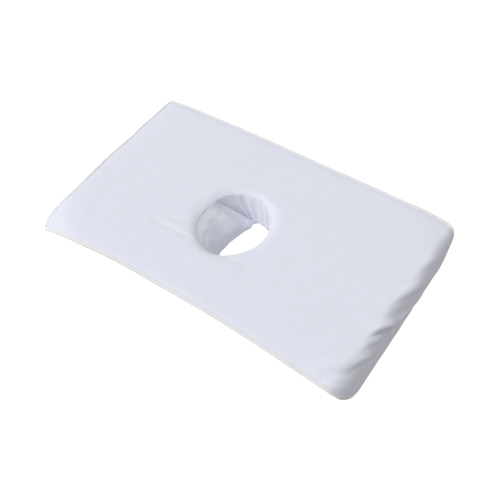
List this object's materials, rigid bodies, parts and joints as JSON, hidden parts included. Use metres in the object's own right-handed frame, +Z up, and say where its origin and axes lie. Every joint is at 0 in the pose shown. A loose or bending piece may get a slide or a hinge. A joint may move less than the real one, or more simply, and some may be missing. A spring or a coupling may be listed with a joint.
{
  "type": "face cradle cushion",
  "caption": "Rectangular padded cushion with a round face hole, a cloth sleeve hanging through it, a bound edge and an end flap folded down over a foam block.",
  "frame": {"origin": "middle of the whole object's base, on the surface it stands on", "axes": "+X along the cushion towards the end with the flap, +Y towards the far long edge, +Z up"},
  "size_m": [0.626, 0.4, 0.0711],
  "materials": {
    "brushed_cloth": "soft brushed nap, matte",
    "sleeve_cloth": "thin soft cloth, matte",
    "wadding": "loose fibre",
    "backing_cloth": "plain weave, matte",
    "binding_tape": "knitted tape, matte",
    "thread": "spun thread",
    "elastic": "ribbed elastic webbing",
    "inner_cloth": "plain weave, matte",
    "foam": "open-cell foam",
    "loop_tape": "looped pile"
  },
  "bodies": {
    "block": {"base_foam": "foam", "inner_cover_top": "inner_cloth", "inner_cover_side": "inner_cloth", "inner_cover_bottom": "inner_cloth", "hole_lining": "inner_cloth", "grip_strip_tail": "loop_tape", "grip_strip_head": "loop_tape"},
    "cover": {"top_panel": "brushed_cloth", "cover_wadding": "wadding", "backing_panel": "backing_cloth", "edge_binding": "binding_tape", "binding_thread": "thread", "sleeve": "sleeve_cloth", "sleeve_hem": "sleeve_cloth", "hem_elastic": "elastic", "sleeve_seam_thread": "thread", "rim_tape": "binding_tape"},
    "flap": {"flap_panel": "brushed_cloth", "flap_wadding": "wadding", "flap_backing": "backing_cloth", "flap_binding": "binding_tape", "flap_thread": "thread"}
  },
  "joints": [
    {"name": "cover_lift", "type": "slide", "parent": "block", "child": "cover", "axis": [0, 0, 1], "range_m": [0, 0.09]},
    {"name": "flap_fold", "type": "hinge", "parent": "cover", "child": "flap", "pos_m": [0.30633, 0, 0.06442], "axis": [0, -1, 0], "range_deg": [0, 90]}
  ]
}
